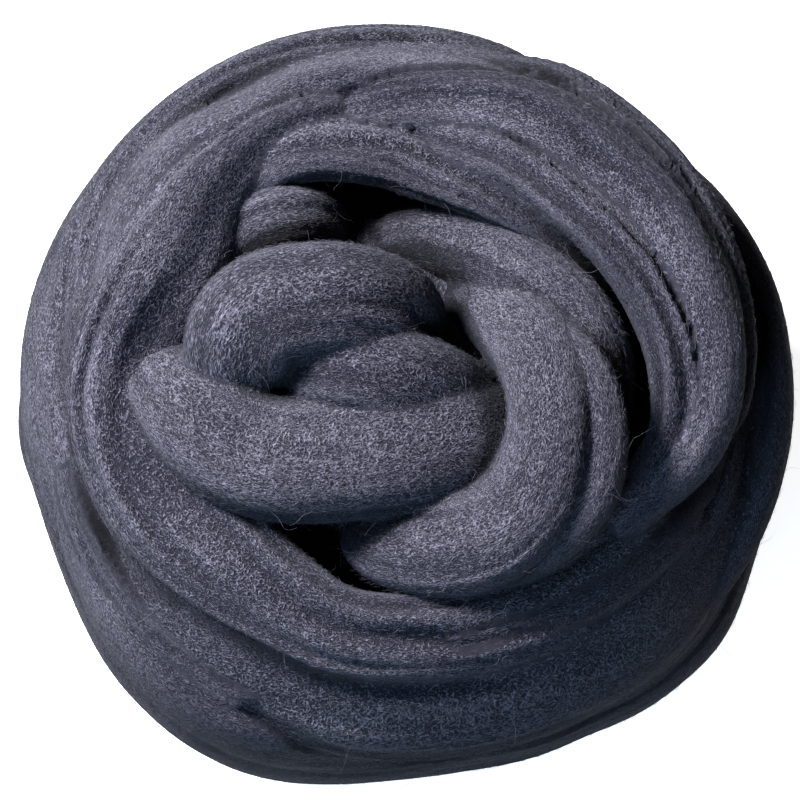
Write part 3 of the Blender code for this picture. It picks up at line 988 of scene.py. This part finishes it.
# The nap: short crimped fibres that stand off every strand. Each is a thin closed spindle of
# six faces, laid along the strand's fibres with some scatter, and fewer lie in the hollows.
FIBRE_LENGTH = 2.3
FIBRE_BREADTH = 0.06
NAP_CLEAR = 3.0  # no fibre is rooted nearer to the table than this


def spindle(name, bend):
    """A fibre one unit long: its root, three points round its bent middle, and its tip."""
    mesh = bpy.data.meshes.new(name)
    middle = [(0.5, bend + 0.5 * math.cos(turn), 0.5 * math.sin(turn)) for turn in (0, 2.094, 4.189)]
    faces = [(0, 2, 1), (0, 3, 2), (0, 1, 3), (4, 1, 2), (4, 2, 3), (4, 3, 1)]
    mesh.from_pydata([(0, 0, 0), *middle, (1, 0, 0)], [], faces)
    stem = mesh.attributes.new("stem", "FLOAT", "POINT")
    stem.data.foreach_set("value", [0.0, 0.5, 0.5, 0.5, 1.0])
    side = mesh.attributes.new("side", "FLOAT", "POINT")
    side.data.foreach_set("value", [0.0, -1.0, 0.0, 1.0, 0.0])
    mesh.shade_smooth()
    mesh.materials.append(FIBRE_WOOL)
    return bpy.data.objects.new(name, mesh)


def random_number(wire, low, high, seed):
    """A number drawn for each point, the same on every run."""
    values = {2: low, 3: high, "Seed": seed}
    return wire.node("FunctionNodeRandomValue", {"data_type": "FLOAT"}, values, out=1)


def scattered(given, density, clear):
    """Points scattered over a skin, fewer in its hollows and none that is nearer to the table
    than clear, each with a random fibre shade that the skin's painted shade darkens."""
    wool = given["Geometry"]
    hollow = named(wool, "hollow", "FLOAT")
    place = wool.node("GeometryNodeInputPosition")
    above = place.node("ShaderNodeSeparateXYZ", None, {"Vector": place}, out="Z").step(clear, clear + 0.002)
    points = wool.node(
        "GeometryNodeDistributePointsOnFaces", None,
        {"Mesh": wool, "Density": density * above * (1.0 - hollow * 0.7), "Seed": given["Seed"]},
    )
    normal = points.other("Normal")
    # Painted shade: fibres rooted where the skin carries painted shade are darker.
    tone = random_number(points, 0.0, 1.0, 5) * (1.0 - named(points, "hollow", "FLOAT") * 0.8)
    return store(points, "tone", "FLOAT", "POINT", tone), normal


def fibre_direction(normal, scatter, lift_low, lift_high):
    """Along the strand's own fibres, turned by some scatter and lifted off the surface."""
    comb = named(normal, "comb", "FLOAT_VECTOR")
    beside = comb.reckon("CROSS_PRODUCT", normal, comb)
    turn = random_number(normal, -1.0, 1.0, 11)
    turn = turn * turn.reckon("ABSOLUTE", turn) * scatter
    cosine = turn.node("ShaderNodeMath", {"operation": "COSINE"}, {0: turn})
    sine = turn.node("ShaderNodeMath", {"operation": "SINE"}, {0: turn})
    way = random_number(normal, -1.0, 1.0, 12)
    way = way.reckon("SIGN", way)
    lift = random_number(normal, lift_low, lift_high, 13)
    direction = comb * (cosine * way) + beside * sine + normal * lift
    return direction.reckon("NORMALIZE", direction)


def with_sheet(fibres):
    """A flat layout of all fibres: side by side by their shade, painted shade included, and root to tip
    upwards.
    """
    across = named(fibres, "tone", "FLOAT") * 0.98 + named(fibres, "side", "FLOAT") * 0.004 + 0.01
    up = named(fibres, "stem", "FLOAT") * 0.96 + 0.02
    return store(fibres, "OFBake", "FLOAT2", "CORNER", joined_axes(fibres, across, up, 0.0))


def nap_tree():
    """Sets fibres of three bends on a skin, fewer on its underside."""
    tree, given = growing_tree("nap", (
        ("Fibres", "Collection"),
        ("Density", "Float"),
        ("Length", "Float"),
        ("Breadth", "Float"),
        ("Seed", "Int"),
        ("Wool", "Material"),
    ))
    facing = given["Geometry"].node("GeometryNodeInputNormal")
    up = facing.node("ShaderNodeSeparateXYZ", None, {"Vector": facing}, out="Z")
    density = given["Density"] * (0.35 + 0.65 * up.step(-0.6, 0.5))
    points, normal = scattered(given, density, NAP_CLEAR * MM)
    direction = fibre_direction(normal, 1.1, 0.0, 0.24)
    rotation = points.node("FunctionNodeAlignRotationToVector", {"axis": "X"}, {"Vector": direction})
    spin = joined_axes(points, random_number(points, 0.0, 6.283, 14), 0.0, 0.0)
    spin = points.node("FunctionNodeEulerToRotation", None, {"Euler": spin})
    rotation = points.node(
        "FunctionNodeRotateRotation", {"rotation_space": "LOCAL"}, {"Rotation": rotation, "Rotate By": spin}
    )
    length = given["Length"] * random_number(points, 0.45, 1.5, 15)
    breadth = given["Breadth"] * random_number(points, 0.6, 1.3, 16)
    kinds = points.node("GeometryNodeCollectionInfo", None, {
        "Collection": given["Fibres"], "Separate Children": True, "Reset Children": True,
    })
    choice = random_number(points, 0.0, 2.999, 17)
    choice = choice.reckon("FLOOR", choice)
    fibres = points.node("GeometryNodeInstanceOnPoints", None, {
        "Points": points, "Instance": kinds, "Pick Instance": True, "Instance Index": choice,
        "Rotation": rotation, "Scale": joined_axes(points, length, breadth, breadth),
    })
    fibres = fibres.node("GeometryNodeRealizeInstances", None, {"Geometry": fibres})
    fibres = with_sheet(fibres)
    finish_tree(fibres, given["Wool"])
    return tree


def fibre_wool(name, dark, light):
    """One fibre's colour: each its own random shade, darkened by painted shade where the skin below is
    shaded, and paler towards the tip.
    """
    material = bpy.data.materials.new(name)
    material.use_nodes = True
    tree = material.node_tree
    shader = tree.nodes["Principled BSDF"]
    start = Wire(tree, shader.outputs[0])
    tone = start.node("ShaderNodeAttribute", {"attribute_name": "tone"}, out="Fac")
    stem = start.node("ShaderNodeAttribute", {"attribute_name": "stem"}, out="Fac")
    shade = tone * tone * 0.85 + stem * 0.15
    mixed = start.node(
        "ShaderNodeMix", {"data_type": "RGBA"}, {"Factor": shade, 6: (*dark, 1.0), 7: (*light, 1.0)}, out=2
    )
    tree.links.new(mixed.socket, shader.inputs["Base Color"])
    shader.inputs["Roughness"].default_value = 0.75
    shader.inputs["Specular IOR Level"].default_value = 0.25
    shader.inputs["Sheen Weight"].default_value = 0.08
    shader.inputs["Sheen Tint"].default_value = (0.50, 0.56, 0.75, 1.0)
    return material


NAP = nap_tree()
FIBRE_WOOL = fibre_wool("wool_fibre", (0.018, 0.018, 0.029), (0.245, 0.240, 0.315))
FIBRE_LAYERS = ("tone", "stem", "OFBake", "sharp_face")
kinds = bpy.data.collections.new("fibre_kinds")
for number, bend in enumerate((0.8, -1.8, 3.2)):
    kinds.objects.link(spindle("fibre_kind_%d" % number, bend))
thinned = 1.0
NAP_LAYERS = (
    # skin, layer, fibres on a square millimetre
    (0, 0, 0.34),
    (0, 1, 0.34),
    (0, 2, 0.34),
    (1, 0, 1.25),
    (1, 1, 1.25),
)
for number, (which, layer, density) in enumerate(NAP_LAYERS):
    piece = skins[which]
    nap = grown("nap_on_%s_%d" % (piece.name, layer), piece.data.copy(), NAP, {
        "Fibres": kinds,
        "Density": density * thinned / MM**2,
        "Length": FIBRE_LENGTH * MM,
        "Breadth": FIBRE_BREADTH * MM,
        "Seed": 3 + number,
        "Wool": FIBRE_WOOL,
    })
    keep_only(nap.data, FIBRE_LAYERS)
    fixed(nap)


# The strays: a few longer crimped fibres of the same wool that have come loose and curl clear of
# it. Each is a three-sided tube that thins towards its tip, still rooted in the skin.
STRAY_LENGTH = 6.0
STRAY_BREADTH = 0.09
STRAY_CLEAR = 11.0
STRAY_DENSITIES = (0.006, 0.02)  # on a square millimetre of the turns, and of the folds


def stray_tree():
    """Sets single lines on a skin, lets them wander more towards their tips, and gives them body."""
    tree, given = growing_tree("strays", (
        ("Density", "Float"),
        ("Length", "Float"),
        ("Breadth", "Float"),
        ("Seed", "Int"),
        ("Wool", "Material"),
    ))
    points, normal = scattered(given, given["Density"], STRAY_CLEAR * MM)
    direction = fibre_direction(normal, 2.6, 0.1, 0.9)
    rotation = points.node("FunctionNodeAlignRotationToVector", {"axis": "X"}, {"Vector": direction})
    length = given["Length"] * random_number(points, 0.5, 1.6, 15)
    line = points.node("GeometryNodeCurvePrimitiveLine", None, {"End": (1.0, 0.0, 0.0)})
    line = line.node("GeometryNodeResampleCurve", None, {"Curve": line, "Count": 10})
    fibres = points.node("GeometryNodeInstanceOnPoints", None, {
        "Points": points, "Instance": line, "Rotation": rotation,
        "Scale": joined_axes(points, length, length, length),
    })
    fibres = fibres.node("GeometryNodeRealizeInstances", None, {"Geometry": fibres})
    stem = fibres.node("GeometryNodeSplineParameter")
    place = fibres.node("GeometryNodeInputPosition")
    tone = named(fibres, "tone", "FLOAT")
    curl = (place * 170.0 + tone * 40.0).noise(detail=1.0, out="Color") - (0.5, 0.5, 0.5)
    aside = curl * (stem * given["Length"] * 1.4)
    fibres = fibres.node("GeometryNodeSetPosition", None, {"Geometry": fibres, "Offset": aside})
    fibres = store(fibres, "stem", "FLOAT", "POINT", stem)
    width = given["Breadth"] * (1.0 - stem * 0.7)
    ring = fibres.node("GeometryNodeCurvePrimitiveCircle", None, {"Resolution": 3, "Radius": 0.5})
    turned = ring.node("GeometryNodeSplineParameter")
    ring = store(ring, "side", "FLOAT", "POINT", turned * 3.0 - 1.0)
    fibres = fibres.node("GeometryNodeCurveToMesh", None, {
        "Curve": fibres, "Profile Curve": ring, "Scale": width, "Fill Caps": True,
    })
    fibres = with_sheet(fibres)
    fibres = fibres.node("GeometryNodeSetShadeSmooth", None, {"Geometry": fibres})
    finish_tree(fibres, given["Wool"])
    return tree


STRAYS = stray_tree()
for number, (piece, density) in enumerate(zip(skins, STRAY_DENSITIES)):
    strays = grown("strays_on_" + piece.name, piece.data.copy(), STRAYS, {
        "Density": density * thinned / MM**2,
        "Length": STRAY_LENGTH * MM,
        "Breadth": STRAY_BREADTH * MM,
        "Seed": 9 + number,
        "Wool": FIBRE_WOOL,
    })
    keep_only(strays.data, FIBRE_LAYERS)
    fixed(strays)
for kind in list(kinds.objects):
    bpy.data.objects.remove(kind)
for piece in skins:
    keep_only(piece.data, ("lay", "groove", "hollow"))


# The table under the ball: a plain board painted in a pale matt white, far wider than the view.
# The ball rests on it with its flat spot. It belongs to the stage, not to the ball.
BOARD_HALF = 3.0
board = bpy.data.meshes.new("table_top")
work = bmesh.new()
bmesh.ops.create_grid(work, x_segments=1, y_segments=1, size=BOARD_HALF)
work.to_mesh(board)
work.free()
paint = bpy.data.materials.new("pale_board")
paint.use_nodes = True
coat = paint.node_tree.nodes["Principled BSDF"].inputs
coat["Base Color"].default_value = (0.9, 0.9, 0.9, 1.0)
coat["Roughness"].default_value = 0.8
coat["Emission Color"].default_value = (1.0, 1.0, 1.0, 1.0)
coat["Emission Strength"].default_value = 0.88
board.materials.append(paint)
table_top = bpy.data.objects.new("table_top", board)
bpy.context.scene.collection.objects.link(table_top)
table_top.visible_diffuse = False


# The light: a soft window at the back left, a weak cool one at the front left, and little from
# all round, so that the gaps between the strands stay nearly black. Places are in metres.
def window(name, place, power, size, colour):
    """A square lamp that faces the ball."""
    lamp = bpy.data.lights.new(name, "AREA")
    lamp.energy = power
    lamp.size = size
    lamp.color = colour
    hung = bpy.data.objects.new(name, lamp)
    hung.location = place
    hung.rotation_euler = (Vector(place) - AIM).to_track_quat("Z", "Y").to_euler()
    bpy.context.scene.collection.objects.link(hung)


window("back_left_window", (-0.62, 0.44, 0.65), 33.0, 0.3, (1.0, 0.96, 0.95))
window("front_window", (-0.38, -0.68, 0.62), 5.5, 0.5, (0.50, 0.75, 1.0))
sky = bpy.data.worlds.new("room")
sky.use_nodes = True
sky.node_tree.nodes["Background"].inputs["Color"].default_value = (0.9, 0.95, 1.0, 1.0)
sky.node_tree.nodes["Background"].inputs["Strength"].default_value = 0.045
bpy.context.scene.world = sky
bpy.context.scene.view_settings.view_transform = "Standard"
